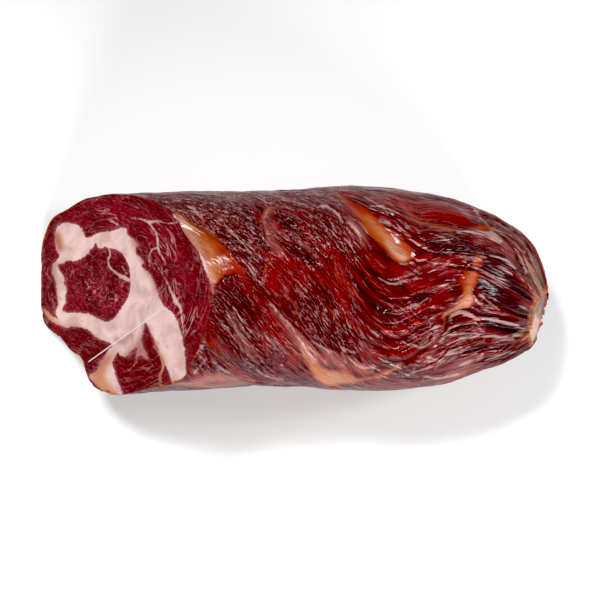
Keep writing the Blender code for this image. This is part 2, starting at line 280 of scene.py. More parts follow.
# Painted highlights: pale glints drawn along the crests of the folds, pinkish, or golden where the skin is
# tan.
GLINT_CREST_CHAINS = {
    "white_ridge": ((457, 232.5, 0.8), (467, 232.5, 1.6), (483, 234, 2.6), (492, 236, 4.5), (499, 241, 3)),
    "far_tip_1": ((515, 249, 1), (519, 256, 1.6), (523, 264, 1.8), (526, 273, 1)),
    "far_tip_2": ((530, 270, 0.6), (535, 280, 1), (541, 296, 1.2)),
    "far_tip_3": (
        (475, 209.5, 0.8), (486, 222, 0.8), (500, 232, 0.8), (514, 242, 0.8), (525, 258, 0.8),
        (534, 275, 1), (541, 291, 1)),
    "far_tip_4": ((519, 232, 0.4), (528, 246, 0.6), (535, 258, 0.8), (541, 278, 0.8), (546, 288, 1)),
    "pleat_1": ((481, 256.5, 0.5), (495, 256.5, 0.6), (506, 261, 0.6), (516, 271, 0.6), (523, 281, 0.5)),
    "pleat_2": (
        (436, 264, 0.5), (450, 264, 0.5), (464, 267.5, 0.6), (475, 268, 0.5), (492, 277, 0.6),
        (512, 287, 0.5)),
    "pleat_4": ((483, 319, 1), (493, 320, 1.6), (503, 322, 1.6), (515, 325, 1.2), (526, 329, 1.2)),
    "pleat_5": ((482, 336.5, 1.2), (492, 337, 2), (503, 338, 2), (513, 338.5, 1)),
    "pleat_6": ((514, 336, 1.5), (520, 334, 2.2), (526, 331.5, 1.5)),
    "pink_lobe_1": ((450, 319, 1), (458, 313, 1.8), (469, 315, 2.2), (478, 320, 1.4)),
    "pink_lobe_2": ((447, 329, 0.5), (461, 326, 1), (478, 322, 0.8)),
    "near_1": ((401, 343, 0.4), (416, 337, 0.7), (433, 329, 0.8), (444, 326, 0.5)),
    "near_2": ((406, 343, 0.4), (425, 347, 0.8), (438, 336, 0.8), (450, 333, 0.5)),
    "near_3": ((437, 343, 0.5), (450, 336, 0.9), (467, 334, 1), (479, 334.5, 0.6)),
    "near_4": ((444, 344, 0.5), (461, 338.5, 1), (479, 336, 0.8)),
    "near_5": (
        (427, 357, 0.5), (439, 359.5, 0.8), (447, 354, 0.8), (464, 350, 0.8), (482, 348, 0.7),
        (500, 347, 0.5)),
    "near_6": ((422, 361, 0.4), (436, 361, 0.7), (450, 359.5, 0.7), (458, 352.5, 0.5)),
    "near_7": ((406, 375, 0.5), (422, 369.5, 0.8), (444, 362.5, 0.5)),
    "near_8": ((422, 376.5, 0.5), (439, 378, 0.9), (458, 374, 0.6)),
    "near_9": ((461, 365, 1.6), (466, 363, 2.6), (471, 361, 1.6)),
    "near_10": ((478, 361, 1), (480, 357, 1.8), (482, 352.5, 1)),
    "near_11": ((486, 361, 0.6), (493, 358, 1.4), (500, 355.5, 1.4), (514, 351, 0.6)),
    "swirl_1": ((387, 312, 0.6), (399, 310.5, 1.1), (413, 306, 1.1), (427, 299, 0.6)),
    "swirl_2": ((378, 277, 0.5), (391, 284, 1), (405, 281, 1), (422, 278, 0.5)),
    "swirl_3": ((395, 264, 0.4), (409, 263.5, 0.7), (422, 260, 0.7), (436, 264, 0.4)),
    "swirl_4": ((422, 247, 0.4), (433, 251.5, 0.7), (447, 252, 0.6), (467, 254, 0.4)),
    "streak_1": ((364, 197, 0.4), (382, 206.5, 0.7), (399, 213.5, 0.5)),
    "streak_2": ((395, 221, 0.4), (406, 234.5, 0.9), (420, 246, 0.5)),
    "streak_3": ((426, 232, 0.5), (438, 236, 0.9), (450, 242, 0.5)),
    "by_tip_patch": ((471, 290, 0.6), (476, 300, 0.9), (482, 306, 0.5)),
    "band_1": ((495, 266, 0.4), (503, 269.5, 1), (511, 274, 0.6)),
    "band_2": ((491, 280, 0.4), (499, 283.5, 1), (508, 289, 0.6)),
    "band_3": ((480, 295, 0.4), (489, 302, 1), (499, 310, 0.6)),
    "band_4": ((519, 305.5, 0.5), (525, 309, 1), (530, 311.5, 0.5)),
    "long_seam": ((271, 305, 0.4), (284, 319, 0.7), (297, 334, 0.8), (306, 348, 0.6)),
    "near_lobe_1": ((312, 341, 0.6), (321, 346, 1.4), (331, 352, 0.8)),
    "near_lobe_2": ((335, 344, 0.6), (345, 350, 1.6), (357, 353, 0.8)),
    "near_lobe_3": ((350, 359, 0.5), (361, 367, 1), (374, 368, 0.6)),
    "third_muscle_1": ((226, 309, 0.6), (232, 322, 1), (240, 335, 0.8), (248, 346, 0.4)),
    "third_muscle_2": ((233, 307, 0.5), (242, 320, 0.8), (251, 333, 0.6)),
    "third_muscle_3": ((225, 325, 0.6), (236, 341, 1), (246, 352, 0.8), (258, 362, 0.4)),
    "third_muscle_4": ((242, 358, 0.6), (254, 367, 1), (268, 376, 0.8), (284, 380, 0.5)),
    "cut_corner_1": ((198, 353, 0.6), (203, 346, 1)),
    "cut_corner_2": ((195, 373, 0.6), (200, 366, 1.1), (206, 360, 0.8)),
    "cut_corner_3": ((211, 361, 0.8), (220, 368, 1.1), (229, 374, 0.6)),
    "first_muscle_1": ((187, 206, 0.8), (196, 212, 1.6), (203, 220, 1)),
    "first_muscle_2": ((226, 228, 0.5), (239, 240, 1), (251, 254, 0.8)),
    "first_muscle_3": ((243, 262, 0.6), (252, 271, 1), (259, 282, 0.7)),
    "second_muscle_1": ((317, 208, 0.8), (326, 206, 1.6), (336, 213, 1.6), (343, 222, 0.8)),
    "second_muscle_2": ((348, 222, 0.8), (356, 230, 2), (361, 240, 1.2)),
    "second_muscle_3": ((298, 203, 0.5), (307, 204, 0.8)),
}
# Brown, dull lean, bright red lean, and the plum-dark, smooth lean near the tip.
BROWN_CHAINS = {
    "first_muscle": (
        (140, 192, 6), (175, 202, 12), (205, 214, 17), (228, 228, 20), (244, 246, 16), (252, 268, 10),
        (258, 288, 4)),
    "far_side": ((240, 196, 12), (280, 198, 10), (315, 195, 8), (335, 196, 5)),
    "second_muscle_back": ((318, 218, 9), (338, 234, 10), (356, 250, 8)),
    "second_muscle_middle": ((300, 290, 5), (313, 305, 7), (330, 322, 6), (345, 338, 4)),
    "third_muscle_middle": ((222, 305, 7), (235, 328, 12), (250, 350, 11), (262, 368, 6)),
    "far_tip": ((480, 216, 5), (500, 228, 8), (516, 244, 8), (528, 262, 7), (538, 284, 5)),
}
BRIGHT_CHAINS = {
    "wedge_end": ((222, 250, 4), (229, 260, 7), (238, 270, 8), (246, 281, 6), (253, 290, 4), (262, 300, 3)),
    "far_patch_margin": (
        (345, 195, 4), (356, 206, 4), (372, 213, 3), (388, 223, 3), (406, 236, 3), (419, 251, 3)),
    "tip_patch_margin": ((484, 256, 3), (479, 264, 3), (474, 268, 3), (463, 276, 3), (462, 288, 3)),
    "second_muscle_lobe": ((271, 256, 6), (278, 262, 7), (270, 274, 7), (272, 286, 5)),
    "second_muscle_band_1": ((284, 254, 5), (300, 264, 5), (320, 276, 5), (345, 294, 5)),
    "second_muscle_band_2": ((300, 226, 4), (318, 242, 5), (338, 258, 5), (360, 276, 5), (376, 292, 4)),
    "third_muscle_side": ((268, 318, 4), (280, 338, 5), (292, 360, 6)),
    "third_muscle_rim": ((211, 330, 3), (214, 343, 4), (222, 351, 3)),
    "streak_back": ((385, 192, 4), (420, 208, 6), (450, 216, 7), (475, 219, 6)),
    "far_patch_side": ((408, 234, 4), (420, 244, 5), (430, 256, 4)),
    "swirl_middle": ((395, 270, 7), (415, 286, 8), (440, 292, 9), (455, 288, 5)),
    "swirl_back": ((372, 262, 5), (388, 276, 5), (402, 296, 6), (420, 310, 6), (436, 306, 6)),
    "swirl_near": ((362, 318, 5), (380, 332, 6), (400, 330, 6), (420, 322, 5)),
    "near_swirl": ((370, 355, 6), (400, 350, 7), (425, 360, 6), (440, 374, 5)),
}
PLUM_CHAINS = {
    "tip_band_1": ((486, 266, 6), (500, 274, 7), (515, 286, 7), (527, 297, 5)),
    "tip_band_2": ((482, 284, 6), (492, 290, 8), (506, 300, 8), (518, 308, 7), (528, 314, 5)),
    "tip_band_3": ((488, 322, 6), (510, 327, 7), (526, 331, 5)),
}
# Where the skin is drawn tight and smooth, and where it is most wrinkled.
SMOOTH_CHAINS = {
    "tip": ((485, 270, 10), (500, 290, 14), (516, 305, 11)),
    "streak_back": ((430, 205, 6), (460, 216, 10)),
    "wedge": ((200, 236, 6), (215, 254, 10)),
    "near_smooth": ((200, 379, 5), (238, 381, 5)),
    "long_seam": ((274, 313, 2), (290, 331, 3), (305, 348, 4), (320, 360, 4)),
    "tip_near": ((472, 322, 5), (492, 332, 8), (514, 336, 7)),
    "far_tip": ((504, 234, 4), (520, 254, 5), (530, 275, 4)),
}
WRINKLED_CHAINS = {
    "third_muscle": ((222, 300, 10), (235, 325, 16), (250, 350, 16), (262, 372, 10)),
    "cut_corner": ((202, 350, 5), (202, 364, 7), (216, 366, 5)),
    "near_tip": ((440, 335, 14), (470, 345, 18), (500, 350, 14)),
    "second_muscle_near": ((310, 310, 14), (330, 325, 16), (350, 345, 14)),
}

# On the cut: the fat's outline, the lean that it rings, and the thin veins of fat.
CUT_FAT_OUTLINE = (
    (55, 232), (58, 226), (64, 223), (72, 223), (78, 225), (83, 230), (86, 237), (91, 237), (96, 234),
    (103, 232), (111, 231), (117, 229), (124, 227), (127, 229), (128, 235), (134, 239), (139, 245),
    (136, 249), (137, 254), (141, 257), (144, 262), (142, 266), (147, 270), (151, 275), (155, 284),
    (158, 291), (161, 299), (164, 305), (170, 310), (176, 316), (180, 327), (183, 339), (185, 355),
    (186, 369), (185, 378), (182, 385), (173, 385), (170, 376), (166, 367), (160, 353), (155, 343),
    (151, 334), (148, 327), (145.5, 323), (144, 332), (142, 338), (143, 346), (147, 354), (149, 360),
    (143, 357), (139, 355), (137, 362), (136, 354), (137, 348), (133, 350), (130, 354), (126, 357),
    (121, 356), (118, 352), (115, 357), (113, 362), (114, 368), (116, 375), (118, 380), (121, 388),
    (123, 396), (116, 401), (104, 394), (95, 384), (89, 376), (94, 372), (98, 368), (100, 361), (104, 357),
    (108, 350), (113, 346), (107, 342), (100, 339.5), (94, 336), (90, 332), (86, 329), (78, 327), (71, 327),
    (66, 329), (62, 326), (59, 322), (57, 317), (56, 311), (58, 305), (57.5, 298), (56, 284), (54, 277),
    (52, 270), (53, 264), (57, 260), (60, 256), (57, 250), (55, 242))
CUT_EYE_OUTLINE = (
    (96, 243), (98, 248), (101, 249), (105, 247), (110, 248.5), (117, 250), (123, 254), (128, 264),
    (130.5, 275), (130, 287), (128, 296), (123, 306), (117, 315), (112, 320), (106, 321.5), (99, 319),
    (95, 317), (90, 314), (79, 312.5), (72, 312), (67, 313), (63, 310), (64, 306), (67, 302), (65.5, 297),
    (67, 291), (65, 284), (64, 277), (60, 270), (58.5, 265.5), (64, 263), (68, 260.5), (75, 261.5),
    (82, 258.5), (89, 253), (93, 247))
CUT_VEINS = {
    "eye_1": (
        (109, 247, 0.6), (110.5, 255, 0.5), (108.5, 260, 0.4), (110, 267, 0.6), (114, 271, 0.8),
        (118, 274, 0.9), (123, 277, 1.9), (129, 280, 1.4)),
    "eye_2": ((122, 266, -0.2), (127, 274, 0.4)),
    "right_1": (
        (149, 223, 0.5), (153.5, 229, 0.5), (157, 236, 0.7), (158, 243, 0.9), (158.5, 250, 0.7),
        (162, 256, 0.3), (166, 264, 0)),
    "right_2": ((157, 248, 0.4), (152, 250, 0.5), (149.5, 257, 0.4), (149.5, 266, 0.5)),
    "right_3": (
        (156, 264, 0), (163, 275, 0.2), (168, 284, 0.4), (172, 293, 1.1), (176, 301, 1.7), (181, 309, 0.9),
        (183, 327, 0.1), (184, 334, -0.1)),
    "upper_1": ((110, 220, 0.5), (115, 223, 0.9), (119, 226, 0.1)),
    "upper_2": (
        (131, 218, 0.1), (141, 219, 0.3), (149, 222, 1.1), (157, 221, 0.5), (166, 223, 0.1),
        (175, 223, 0.3), (178, 220, 0.1)),
    "upper_3": ((93, 204, -0.2), (97, 199, 0.3)),
    "lower_1": ((126, 372, -0.3), (131, 368, 0.1), (137, 361, 0)),
    "tan_strip": ((154, 346, 0.6), (160, 355, 0.9), (163, 366, 1.2), (160, 376, 1.2), (160, 385, 0.9)),
}
# Where the lean of the cut is full of thin veins that run round the eye of the meat.
CUT_VEINY = {
    "right": ((150, 230, 10), (168, 252, 13), (182, 286, 13), (191, 330, 6)),
    "upper": ((92, 216, 8), (125, 212, 8), (165, 214, 6)),
    "eye": ((90, 290, 8), (112, 300, 10)),
}
EYE_MIDDLE = (104, 284)
CUT_STRIPS = {
    "right_rim": (
        (174, 216, 1.2), (181, 220, 2), (188, 227, 2.6), (194, 236, 3), (200, 247, 3), (205, 260, 3.2),
        (209, 272, 2.8), (213, 286, 1.5)),
    "left_corner": ((62, 323, 3), (55, 320, 3), (49, 316, 2.4), (45, 309, 1)),
}
CUT_ORANGE = {
    "near_band": ((110, 358, 3), (103, 368, 5), (99, 377, 7), (102, 388, 9), (112, 397, 6)),
    "tongue_foot": ((172, 383, 4), (180, 385, 5), (188, 384, 4)),
    "tan_strip": ((154, 345, 2), (160, 356, 3), (163, 367, 3), (160, 384, 4)),
    "blob_side": ((58, 238, 4), (60, 247, 4)),
    "left_rim": (
        (62, 208, 1), (52, 220, 2), (46, 234, 2), (42, 248, 2), (42, 264, 1.5), (42, 280, 2), (41, 290, 2)),
    "left_corner": (
        (43, 292, 2), (46, 308, 4), (50, 320, 4), (57, 325, 4), (66, 333, 3), (78, 350, 2), (88, 374, 3)),
}
CUT_BLOOD = {
    "near_lean": ((146, 330, 4), (144, 352, 12), (140, 370, 20), (150, 385, 12)),
    "lower_left_lean": ((75, 334, 8), (95, 352, 12), (90, 366, 8)),
    "ring_edge": ((136, 240, 4), (142, 254, 4), (152, 272, 5), (162, 294, 4)),
    "ring_left": ((55, 262, 1), (53, 272, 2), (54, 284, 2), (57, 302, 1)),
    "blob_left": ((56, 234, 2), (58, 240, 3), (60, 248, 2)),
    "fat_by_tongue": ((116, 339, 0.5), (124, 342, 1.5), (131, 335, 1), (134, 344, 0.5)),
}
# The line that the knife scored across the cut, bumped and drawn with a painted highlight: start, end and
# half-width.
KNIFE_SCORE = ((86, 363), (166, 307), 0.35)

REACH = 25.0  # pixels of the photo beyond which a drawn line has no effect
NO_FOLD = 9.0  # millimetres, where no fold is near


def photo_places(points):
    """Where the camera sees each point, in pixels of the photo."""
    grows = (CAMERA_HEIGHT - MID_HEIGHT) / (CAMERA_HEIGHT - points[..., 2])
    across = PHOTO_MIDDLE + (points[..., 0] - CAMERA_X) * grows / PIXEL
    down = PHOTO_MIDDLE - (points[..., 1] - CAMERA_Y) * grows / PIXEL
    return across, down


def rounded_line(points, pieces=4):
    """Extra points between the given ones, on a smooth curve through them."""
    points = np.asarray(points, float)
    ends = np.concatenate([2 * points[:1] - points[1:2], points, 2 * points[-1:] - points[-2:-1]])
    made = []
    for a, b, c, d in zip(ends, ends[1:], ends[2:], ends[3:]):
        for u in np.arange(pieces) / pieces:
            bend = (2 * a - 5 * b + 4 * c - d) * u**2 + (3 * b - a - 3 * c + d) * u**3
            made.append(b + 0.5 * ((c - a) * u + bend))
    made.append(points[-1])
    return np.array(made)


def nearest_on_line(across, down, line):
    """Distance to a line less its own third value, the side of it, and how far along it, all in pixels."""
    best = np.full(across.shape, np.inf)
    side = np.zeros(across.shape)
    share = np.zeros(across.shape)
    last = len(line) - 1
    for i, (a, b) in enumerate(zip(line, line[1:])):
        run = b[:2] - a[:2]
        u = np.clip(((across - a[0]) * run[0] + (down - a[1]) * run[1]) / (run @ run), 0, 1)
        off_x = across - a[0] - u * run[0]
        off_y = down - a[1] - u * run[1]
        away = np.hypot(off_x, off_y)
        if len(a) > 2:
            away = away - a[2] - u * (b[2] - a[2])
        nearer = away < best
        best = np.where(nearer, away, best)
        side = np.where(nearer, np.sign(run[0] * off_y - run[1] * off_x), side)
        share = np.where(nearer, (i + u) / last, share)
    return best, side, share


def near_box(across, down, line):
    """Which places lie close enough to a line's box to be worth measuring."""
    low, high = line[:, :2].min(axis=0) - REACH, line[:, :2].max(axis=0) + REACH
    return (across > low[0]) & (across < high[0]) & (down > low[1]) & (down < high[1])


def inside_chains(across, down, chains):
    """How deep each place lies inside the nearest chain of discs, in millimetres, negative outside."""
    depth = np.full(across.shape, -REACH)
    for chain in chains.values():
        line = rounded_line(chain)
        near = near_box(across, down, line)
        away, _, _ = nearest_on_line(across[near], down[near], line)
        depth[near] = np.maximum(depth[near], -away)
    return depth * PIXEL / MM


def inside_outline(across, down, outline):
    """How deep each place lies inside a closed outline, in millimetres, negative outside."""
    depth = np.full(across.shape, -REACH)
    line = rounded_line(outline + outline[:1], pieces=3)
    near = near_box(across, down, line)
    x, y = across[near], down[near]
    away, _, _ = nearest_on_line(x, y, line)
    inside = np.zeros(x.shape, bool)
    for a, b in zip(line, line[1:]):
        if a[1] != b[1]:
            crosses = (a[1] > y) != (b[1] > y)
            inside ^= crosses & (x < a[0] + (y - a[1]) * (b[0] - a[0]) / (b[1] - a[1]))
    depth[near] = np.where(inside, away, -away)
    return depth * PIXEL / MM


def fold_relief(across, down):
    """Of the drawn folds: their height, how far off the nearest line each place is, and that line's depth.

    All are in millimetres. The distance is signed, so that it runs evenly through zero on the line.
    """
    height = np.zeros(across.shape)
    nearest = np.full(across.shape, NO_FOLD)
    nearest_depth = np.zeros(across.shape)
    for depth, half_width, step, points in FOLDS.values():
        line = rounded_line(points)
        near = near_box(across, down, line)
        away, side, share = nearest_on_line(across[near], down[near], line)
        gap = away * side * PIXEL / MM
        off = gap / half_width
        fades = np.sqrt(np.clip(np.minimum(share, 1 - share) * 5, 0, 1))
        nearer = np.abs(gap) < np.abs(nearest[near])
        nearest[near] = np.where(nearer, gap, nearest[near])
        nearest_depth[near] = np.where(nearer, fades * depth, nearest_depth[near])
        groove = -0.65 * depth * np.exp(-(off**2))
        lips = 0.3 * depth * np.exp(-(((np.abs(off) - 1.9) / 0.9) ** 2))
        rise = step * np.tanh(off) * np.exp(-((off / 6) ** 2)) / 2
        height[near] += fades * (groove + lips + rise)
    return height, nearest, nearest_depth


def spread_out(grid, sigma, axis):
    """Blurs the grid's points along one axis. Round the section it wraps, and along it stays straight."""
    reach = int(3 * sigma)
    weights = np.exp(-0.5 * (np.arange(-reach, reach + 1) / sigma) ** 2)
    weights /= weights.sum()
    if axis == 1:
        wide = np.concatenate([grid[:, -reach:], grid, grid[:, :reach]], axis=1)
    else:
        before = 2 * grid[:1] - grid[1 : reach + 1][::-1]
        after = 2 * grid[-1:] - grid[-reach - 1 : -1][::-1]
        wide = np.concatenate([before, grid, after], axis=0)
    count = grid.shape[axis]
    return sum(w * np.take(wide, range(i, i + count), axis=axis) for i, w in enumerate(weights))


def section_angles():
    """Angles round the section, from +Y towards +Z, closer together on the upper side."""
    even = np.arange(STEPS_ROUND) * 2 * math.pi / STEPS_ROUND
    return even + TOP_DENSITY * np.cos(even)


def side_rays():
    """Start and direction of the rays that find the skin, row by row from the cut to the tip."""
    angles = section_angles()
    radial = np.stack([np.zeros(STEPS_ROUND), np.cos(angles), np.sin(angles)], axis=-1)
    cut_x = cad_low.x + AXIS_HEIGHT + PAST_CUT
    starts, directions = [], []
    for row in range(ROWS_ON_SIDE):
        share = row / ROWS_ON_SIDE
        lean = 1 - unit_step(share, 0.0, SLANT_GONE)
        start = Vector((cut_x, 0, AXIS_HEIGHT)).lerp(FAN_START, share)
        direction = radial.copy()
        direction[:, 0] = lean * radial[:, 2]
        starts.append(np.tile(start, (STEPS_ROUND, 1)))
        directions.append(direction)
    forward = np.array((TIP_MIDDLE - FAN_START).normalized())
    for row in range(ROWS_ON_TIP + 1):
        swing = math.pi / 2 * row / ROWS_ON_TIP
        starts.append(np.tile(FAN_START, (STEPS_ROUND, 1)))
        directions.append(math.cos(swing) * radial + math.sin(swing) * forward)
    return np.array(starts), np.array(directions)


def skin_grid():
    """The solid's own skin as rows of points, with its facets smoothed away."""
    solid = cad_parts[NODE].data
    tree = BVHTree.FromPolygons([v.co for v in solid.vertices], [p.vertices for p in solid.polygons])
    starts, directions = side_rays()
    grid = np.empty(starts.shape)
    for place in np.ndindex(starts.shape[:2]):
        found = tree.ray_cast(Vector(starts[place]), Vector(directions[place]))
        grid[place] = found[0]
    return spread_out(spread_out(grid, BLUR_ROUND, axis=1), BLUR_ALONG, axis=0)


def outward(grid):
    """Unit normals of a grid of points whose rows run from the cut to the tip."""
    round_it = np.roll(grid, -1, axis=1) - np.roll(grid, 1, axis=1)
    along = np.gradient(grid, axis=0)
    normal = np.cross(round_it, along)
    length = np.linalg.norm(normal, axis=-1, keepdims=True)
    return normal / np.maximum(length, 1e-12)


def fibre_places(points):
    """Places on the skin in millimetres: along the fibres, and two across them that wrap round it."""
    x = points[..., 0]
    across_axis = np.interp(x, (cad_low.x, FAN_START.x, TIP_MIDDLE.x), (0, FAN_START.y, TIP_MIDDLE.y))
    up_axis = np.interp(x, (FAN_START.x, TIP_MIDDLE.x), (AXIS_HEIGHT, TIP_MIDDLE.z))
    angle = np.arctan2(points[..., 2] - up_axis, points[..., 1] - across_axis)
    stations, turns = np.array(FIBRE_TURN).T
    turn = np.interp(x / MM, stations, turns)
    wound = angle - turn * (1 - FIBRE_LEAN * np.cos(angle))
    return np.stack([x / MM, ROUND_RADIUS * np.cos(wound), ROUND_RADIUS * np.sin(wound)], axis=-1)


# Wrinkles along the fibres: their usual length and width in millimetres, and their seed.
WIDE_WRINKLES = (26, 4.2, 1)
LONG_WRINKLES = (60, 5.0, 6)
NARROW_WRINKLES = (18, 2.2, 2)
RIDGE_MIDDLE = 0.7


def ridges(fibres, length, width, seed):
    """Sharp-crested wrinkles along the fibres, about evenly above and below zero."""
    bend = lattice_noise(fibres / 9.0, seed + 50) * 1.2
    places = fibres / (length, width, width) + bend[..., None] * np.array((0, 0.5, 0.5))
    return 1 - np.abs(lattice_noise(places, seed)) - RIDGE_MIDDLE


# Heights on the skin, in millimetres: each kind of wrinkle, more of the wide ones at the tip, and lumps.
WIDE_HEIGHT = 0.6
WIDE_MORE_AT_TIP = 0.5
NARROW_HEIGHT = 0.7
LONG_HEIGHT_AT_TIP = 1.5
LUMP_HEIGHT = 0.35


def skin_relief(points, facing, paint):
    """Height of folds and wrinkles over the smooth skin, in millimetres."""
    across, down = photo_places(points)
    seen = unit_step(facing, 0.0, 0.3)
    fibres = fibre_places(points)
    smooth = np.clip(paint["smooth"] + 0.75 * soft_mask(paint["fat"], 0.5), 0, 1)
    rough = 0.55 + 0.8 * paint["wrinkled"]
    to_tip = unit_step(points[..., 0] / MM, 30, 75)
    wide = ridges(fibres, *WIDE_WRINKLES)
    long = ridges(fibres, *LONG_WRINKLES)
    narrow = ridges(fibres, *NARROW_WRINKLES)
    lumps = lattice_noise(fibres / 13.0, seed=4) + 0.5 * lattice_noise(fibres / 6.0, seed=5)
    wrinkles = (WIDE_HEIGHT + WIDE_MORE_AT_TIP * to_tip) * wide + NARROW_HEIGHT * narrow
    wrinkles *= rough * (1 - 0.85 * smooth)
    wrinkles += LONG_HEIGHT_AT_TIP * to_tip * long * (1 - 0.4 * smooth)
    height, gap, depth = fold_relief(across, down)
    return seen * height + wrinkles + LUMP_HEIGHT * lumps, gap, seen * depth


def soft_mask(depth, softness):
    """1 inside and 0 outside of a painted area, over a soft edge in millimetres."""
    return unit_step(depth, -softness, softness)


def skin_fat(across, down):
    """How deep each place lies inside the fat drawn on the skin, in millimetres."""
    depth = inside_chains(across, down, FAT_CHAINS)
    for outline in FAT_OUTLINES.values():
        depth = np.maximum(depth, inside_outline(across, down, outline))
    return depth


def skin_paint(points, facing):
    """What shows in the skin at each point: one array for each name."""
    across, down = photo_places(points)
    seen = unit_step(facing, -0.05, 0.2)
    fibres = fibre_places(points)
    # The sides that the photo hides get fat seams, brown and bright lean by the same fibres.
    hidden_fat = 3.5 * lattice_noise(fibres / (46, 9, 9), seed=11) - 1.6
    hidden_brown = unit_step(lattice_noise(fibres / (50, 18, 18), seed=12), 0.0, 0.5)
    hidden_bright = unit_step(lattice_noise(fibres / (40, 10, 10), seed=13), 0.2, 0.5)
    paint = {"fat": seen * skin_fat(across, down) + (1 - seen) * hidden_fat}
    names = {
        "tan": (TAN_CHAINS, 2.0, 0.4),
        "pink": (PINK_AND_SHEEN_CHAINS, 1.5, 0.0),
        "brown": (BROWN_CHAINS, 3.0, hidden_brown),
        "bright": (BRIGHT_CHAINS, 2.0, hidden_bright),
        "plum": (PLUM_CHAINS, 1.2, 0.0),
        "smooth": (SMOOTH_CHAINS, 3.0, 0.0),
        "wrinkled": (WRINKLED_CHAINS, 4.0, 0.4),
    }
    for name, (chains, softness, hidden) in names.items():
        drawn = soft_mask(inside_chains(across, down, chains), softness)
        paint[name] = seen * drawn + (1 - seen) * hidden
    # Painted highlights: how deep each place lies inside the glint lines drawn on the crests.
    paint["crest_glint"] = np.where(seen > 0.5, inside_chains(across, down, GLINT_CREST_CHAINS), -NO_FOLD)
    return paint


def cut_grid(rim):
    """Rows of points over the flat cut, from its middle to just short of its rim."""
    middle = rim.mean(axis=0)
    shares = np.arange(ROWS_ON_CUT) / ROWS_ON_CUT
    return middle + (rim - middle) * shares[:, None, None]


def cut_paint(points):
    """What shows in the cut at each point: depths inside the drawn areas, in millimetres."""
    across, down = photo_places(points)
    ring = inside_outline(across, down, CUT_FAT_OUTLINE)
    eye = inside_outline(across, down, CUT_EYE_OUTLINE)
    strip = inside_chains(across, down, CUT_STRIPS)
    return {
        "fat_depth": np.maximum(np.minimum(ring, -eye), strip),
        "vein_depth": inside_chains(across, down, CUT_VEINS),
        "orange": soft_mask(inside_chains(across, down, CUT_ORANGE), 2.0),
        "blood": soft_mask(inside_chains(across, down, CUT_BLOOD), 2.0),
        "veiny": soft_mask(inside_chains(across, down, CUT_VEINY), 2.0),
    }


def places_round_eye(points):
    """Places on the cut in millimetres: away from the eye of the meat, and two round it that wrap."""
    across, down = photo_places(points)
    right = (across - EYE_MIDDLE[0]) * PIXEL / MM
    up = (EYE_MIDDLE[1] - down) * PIXEL / MM
    away = np.hypot(right, up)
    angle = np.arctan2(up, right)
    return np.stack([away, ROUND_RADIUS * np.cos(angle), ROUND_RADIUS * np.sin(angle)], axis=-1)


# Heights on the cut, in millimetres.
FAT_PROUD = 0.12
GRAIN_HEIGHT = 0.07
WAVE_HEIGHT = 0.25
RIM_REACH = 1.5  # how far in from the rim they fade


def cut_relief(points, paint, rim_gap):
    """Height over the sawn plane, in millimetres: the fat stands a little proud of the lean."""
    fat = soft_mask(paint["fat_depth"], 0.6)
    grain = lattice_noise(points / (1.6 * MM), seed=21) + 0.6 * lattice_noise(points / (0.8 * MM), seed=22)
    waves = lattice_noise(points / (14 * MM), seed=23)
    height = FAT_PROUD * fat + GRAIN_HEIGHT * grain * (1 - fat) + WAVE_HEIGHT * waves
    return height * unit_step(rim_gap, 0.0, RIM_REACH)


def laid_mesh(name, grid):
    """A sphere whose rows are laid on the rows of the grid, and the row and step of each vertex."""
    last = grid.shape[0] - 1
    bm = bmesh.new()
    bmesh.ops.create_uvsphere(bm, u_segments=STEPS_ROUND, v_segments=last, radius=1)
    bmesh.ops.reverse_faces(bm, faces=bm.faces)
    mesh = bpy.data.meshes.new(name)
    bm.to_mesh(mesh)
    bm.free()
    ball = np.empty(len(mesh.vertices) * 3)
    mesh.vertices.foreach_get("co", ball)
    ball = ball.reshape(-1, 3)
    rows = np.rint(np.arccos(np.clip(ball[:, 2], -1, 1)) / math.pi * last).astype(int)
    turns = np.arctan2(ball[:, 1], ball[:, 0]) / (2 * math.pi)
    steps = np.floor(turns * STEPS_ROUND).astype(int) % STEPS_ROUND
    mesh.vertices.foreach_set("co", grid[rows, steps].ravel())
    mesh.update()
    return mesh, rows, steps


def give_values(mesh, name, kind, values):
    """Stores one value or one vector for each vertex, for the materials to read."""
    attribute = mesh.attributes.new(name, kind, "POINT")
    field = "value" if kind == "FLOAT" else "vector"
    attribute.data.foreach_set(field, np.asarray(values, np.float32).ravel())


def whole_grid(on_cut, on_skin):
    """One array for all rows: those over the cut, and those over the side and the tip."""
    cut_rows = np.broadcast_to(on_cut, (ROWS_ON_CUT, STEPS_ROUND))
    skin_rows = np.broadcast_to(on_skin, (ROWS_ON_SIDE + ROWS_ON_TIP + 1, STEPS_ROUND))
    return np.concatenate([cut_rows, skin_rows])


# The trimmed end, in millimetres: how deep it is sunk, and its raised lip of casing.
TIP_SUNK = 0.4
LIP_HEIGHT = 0.35
LIP_RAGGED = 0.08


def trim_at(skin):
    """The gap from each point to the trimmed end and its raggedness, in millimetres, and the end's share."""
    gap = (np.linalg.norm(skin - np.array(TRIM_MIDDLE), axis=-1) - TRIM_RADIUS) / MM
    ragged = lattice_noise(skin / (2.2 * MM), seed=31) + 0.7 * lattice_noise(skin / (1.0 * MM), seed=32)
    return gap, ragged, 1 - unit_step(gap + 0.5 * ragged, -0.6, 0.4)


def raised_skin(skin, normals, relief):
    """The skin with its relief, kept above the table and behind the sawn plane."""
    placed = skin + normals * relief[..., None] * MM
    placed[..., 2] = np.maximum(placed[..., 2], 0)
    plane_x = cad_low.x + placed[..., 2]
    placed[..., 0] = np.maximum(placed[..., 0], plane_x)
    placed[0, :, 0] = plane_x[0]
    placed[-1] = placed[-1].mean(axis=0)
    return placed


